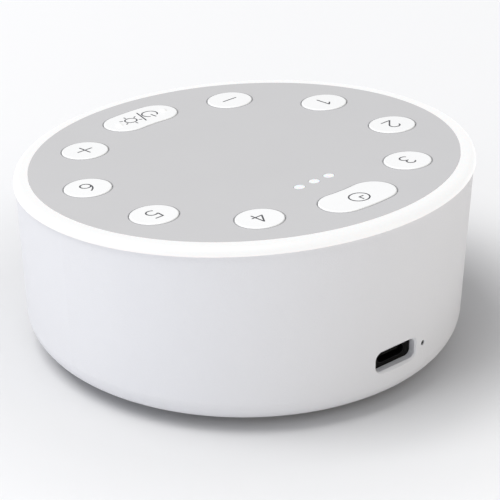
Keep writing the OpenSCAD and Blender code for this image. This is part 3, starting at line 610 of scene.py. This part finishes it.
# A grey film of painted shade, for the dark gap round each key.
gap_shade_grey = moulded_plastic(
    "gap_shade_grey", (0.33, 0.33, 0.34), gloss=(0.6, 0.7), depth=0.002 * mm, change=0.05
)
plus_middle = key_middle("key_plus")
panel_mesh = solids["top_panel"].data
panel_corners = [(off_panel @ corner.co) / mm for corner in panel_mesh.vertices]
hole_radius = min((corner.xy - plus_middle).length for corner in panel_corners)
line_radius = hole_radius + line_margin + line_width / 2
print("holes are", round(hole_radius, 3), "mm in radius")


def long_key_line(node):
    """The strokes of the line round a long key, which lies on the key circle."""
    low, high = panel_box(node)
    round_reach = panel_box("key_plus")[1].x - plus_middle.x
    half_angle = math.degrees(math.asin((high.x - round_reach) / key_circle))
    around = 90 if high.y > 0 else -90
    first, last = around - half_angle, around + half_angle
    strokes = [arc(0, 0, key_circle + side * line_radius, first, last) for side in (-1, 1)]
    for angle, turn in ((first, first - 180), (last, last)):
        end = Matrix.Rotation(math.radians(angle), 2) @ Vector((key_circle, 0))
        strokes.append(arc(*end, line_radius, turn, turn + 180))
    return strokes


gap_shade_strokes = long_key_line("key_power") + long_key_line("key_timer")
for key in round_keys:
    gap_shade_strokes += circle(*key_middle(f"key_{key}"), line_radius)
gap_shade_outlines = [outline(stroke, line_width) for stroke in gap_shade_strokes]
line_low, line_high = -ink_sink, ink_film - ink_sink
gap_shade_lines = raised_film("gap_shade_lines", gap_shade_outlines, line_low, line_high, on_panel)
gap_shade_lines.data.materials.append(gap_shade_grey)
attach(gap_shade_lines, "body")
print("strokes round the keys:", len(gap_shade_strokes))

# %% [markdown]
# ## Contacts in the charging socket
#
# The tongue in the socket carries a row of twelve gold-plated strips on each face. They
# are flat films too, laid on the faces of the tongue solid, a little back from its edge,
# and half sunk into it.

# %% Socket contacts
contact_count, contact_pitch = 12, 0.5
contact_width, contact_length, contact_setback = 0.26, 3.4, 0.35
contact_sink = 0.01
tongue_low, tongue_high = [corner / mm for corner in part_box("port_tongue")]
strip_end = tongue_high.y - contact_setback
strip_start = strip_end - contact_length
strips = []
for i in range(contact_count):
    x = (i - (contact_count - 1) / 2) * contact_pitch
    left, right = x - contact_width / 2, x + contact_width / 2
    corners = [
        (left, strip_start), (right, strip_start), (right, strip_end), (left, strip_end)
    ]
    strips.append([Vector(corner) for corner in corners])
for face, level in (("upper", tongue_high.z), ("lower", tongue_low.z)):
    low, high = level - contact_sink, level + contact_sink
    contacts = raised_film(f"{face}_contacts", strips, low, high, Matrix.Identity(4))
    # The strips' gold is written far darker than gold: painted shade inside the port.
    contacts.data.materials.append(contact_gold_painted_dark)
    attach(contacts, "body")
print("contacts on the tongue:", 2 * contact_count)

# %% [markdown]
# ## The dark plug in the charging lamp's hole
#
# Beside the socket a small hole lets the charging lamp be seen. A dark plug is set back a
# little in the hole and makes the hole read dark. It is painted shade, and the charging
# lamp inside is written just as dark. The hole's axis runs outwards through the lamp, as
# high as the socket's tongue, and the hole's radius and mouth are found from the corners
# of the housing that lie close to that axis.

# %% Dark plug of painted shade
plug_setback, plug_depth, plug_margin = 0.3, 0.5, 0.02
hole_search = 1.0

lamp_low, lamp_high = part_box("charge_lamp")
outwards = Vector((lamp_low.x + lamp_high.x, lamp_low.y + lamp_high.y, 0)).normalized()
axis_height = Vector((0, 0, (tongue_low.z + tongue_high.z) / 2))
rim = []
for corner in solids["housing"].data.vertices:
    from_axis = corner.co / mm - axis_height
    along = from_axis.dot(outwards)
    aside = (from_axis - along * outwards).length
    if along > 0 and aside < hole_search:
        rim.append((along, aside))
plug_radius = min(aside for _, aside in rim) - plug_margin
mouth = max(along for along, _ in rim)
plug_face = mouth - plug_setback
plug_back = plug_face - plug_depth
plug_outline = arc(0, 0, plug_radius, 0, 360)[:-1]
facing_out = outwards.to_track_quat("Z", "Y").to_matrix().to_4x4()
stand = Matrix.Translation(axis_height * mm) @ facing_out
shade_plug = raised_film("pinhole_shade_plug", [plug_outline], plug_back, plug_face, stand)
shade_plug.data.materials.append(lamp_smoked)
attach(shade_plug, "body")
print("window:", round(plug_radius, 2), "mm in radius, rim corners:", len(rim))
print("mouth of its hole:", round(mouth, 2), "mm from the machine's middle")

# %% [markdown]
# ## The floor
#
# A pale sweep, large enough to fill every view. It is an ordinary matte surface, so it
# takes the machine's soft shadow and sends light back up its wall. Its paper is painted
# darker towards the machine. This painted shade stands in for the wide, faint shade that
# the ceiling of a bright room leaves round a low object. Painting it costs no lamps and
# no noise.

# %% Floor
floor_reach, floor_sides = 3.0, 96
floor_disc = bmesh.new()
bmesh.ops.create_circle(floor_disc, cap_ends=True, radius=floor_reach, segments=floor_sides)
floor_mesh = bpy.data.meshes.new("studio_floor")
floor_disc.to_mesh(floor_mesh)
floor_disc.free()
studio_floor = bpy.data.objects.new("studio_floor", floor_mesh)
scene.collection.objects.link(studio_floor)

# %% Paper of the floor, with its painted shade
# Painted shade: each distance from the middle, in metres, has its shade of grey, and the
# grey darkens towards the machine.
painted_floor_shades = {0.055: 0.725, 0.065: 0.75, 0.075: 0.80, 0.1: 0.905, 0.13: 0.93, 0.25: 0.965}
paper_near, paper_far = min(painted_floor_shades), max(painted_floor_shades)
paper_blue = 1.015

floor_finish, floor_tree, floor_shader, floor_place = new_finish("studio_paper")
distance_out = floor_tree.nodes.new("ShaderNodeVectorMath")
distance_out.operation = "LENGTH"
floor_tree.links.new(floor_place, distance_out.inputs[0])
reach = floor_tree.nodes.new("ShaderNodeMapRange")
reach.inputs["From Min"].default_value = paper_near
reach.inputs["From Max"].default_value = paper_far
floor_tree.links.new(distance_out.outputs["Value"], reach.inputs["Value"])
paper = floor_tree.nodes.new("ShaderNodeValToRGB")
while len(paper.color_ramp.elements) < len(painted_floor_shades):
    paper.color_ramp.elements.new(0.5)
for stop, (distance, shade) in zip(paper.color_ramp.elements, painted_floor_shades.items()):
    stop.position = (distance - paper_near) / (paper_far - paper_near)
    stop.color = (shade, shade, shade * paper_blue, 1)
floor_tree.links.new(reach.outputs["Result"], paper.inputs["Fac"])
floor_tree.links.new(paper.outputs["Color"], floor_shader.inputs["Base Color"])
floor_shader.inputs["Roughness"].default_value = 0.9
floor_shader.inputs["Specular IOR Level"].default_value = 0.1
floor_mesh.materials.append(floor_finish)

# %% [markdown]
# ## Lamps
#
# Soft light from everywhere comes from a pale world. One large soft box stands high on
# the sleeper's right, so the shadow falls short and to the other side. It only grazes
# the wall, so three weak boxes on the camera's side lift it: a warm one low on its right,
# a cool one low on its left, and one between them that stands higher.

# %% World and soft boxes
world = bpy.data.worlds.new("studio_world")
scene.world = world
world.use_nodes = True
air = world.node_tree.nodes["Background"]
air.inputs["Color"].default_value = (0.98, 0.985, 1.0, 1)
air.inputs["Strength"].default_value = 0.42

lamp_aim = Vector((0, 0, 20 * mm))


def soft_box(name, place, size, watts, colour):
    """A square area lamp that looks at the machine."""
    lamp_data = bpy.data.lights.new(name, "AREA")
    lamp_data.shape = "SQUARE"
    lamp_data.size = size
    lamp_data.energy = watts
    lamp_data.color = colour
    lamp = bpy.data.objects.new(name, lamp_data)
    lamp.location = place
    lamp.rotation_euler = (lamp_aim - Vector(place)).to_track_quat("-Z", "Y").to_euler()
    scene.collection.objects.link(lamp)


soft_box("key_box", (0.797, -0.322, 2.045), size=1.3, watts=33, colour=(1, 1, 0.99))
soft_box("right_fill", (-0.602, 1.352, 0.268), size=0.6, watts=2.4, colour=(1, 0.86, 0.55))
soft_box("left_fill", (1.457, -0.257, 0.268), size=0.6, watts=3.4, colour=(0.9, 0.95, 1))
soft_box("front_fill", (0.53, 0.919, 1.081), size=0.6, watts=1.1, colour=(0.88, 0.94, 1))
print("lamps:", len(bpy.data.lights))

# %% Colour management
scene.view_settings.view_transform = "Standard"
